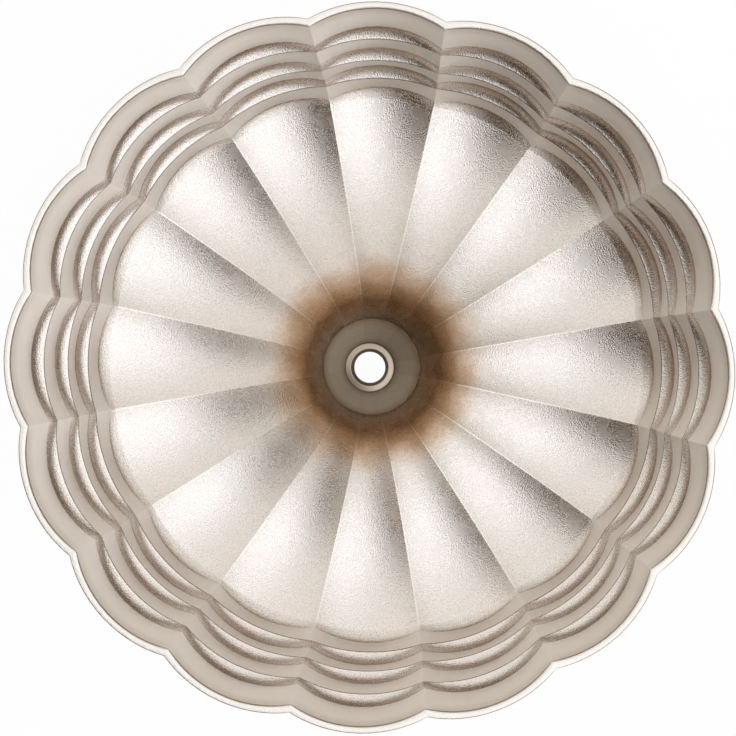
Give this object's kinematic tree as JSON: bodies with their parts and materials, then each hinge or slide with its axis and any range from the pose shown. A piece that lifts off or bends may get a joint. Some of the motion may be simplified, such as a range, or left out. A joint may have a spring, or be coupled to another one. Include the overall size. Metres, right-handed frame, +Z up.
{
  "type": "fluted tube pan",
  "caption": "Round baking mould with a scalloped lip, a coved and tiered side wall, a floor of radial flutes and an open conical tube in the middle.",
  "frame": {"origin": "on the pan's axis, in the plane that the undersides of the flutes stand on", "axes": "+Z up along the axis of the tube, out of the mouth; +X through the middle of one lobe"},
  "size_m": [0.2592, 0.2592, 0.0751],
  "materials": {
    "coated_shell": "fine-grained champagne metallic non-stick coating",
    "coated_tube": "smooth satin metallic coating, a little darker than the shell"
  },
  "bodies": {
    "root": {"fluted_shell": "coated_shell", "centre_tube": "coated_tube"}
  },
  "joints": []
}
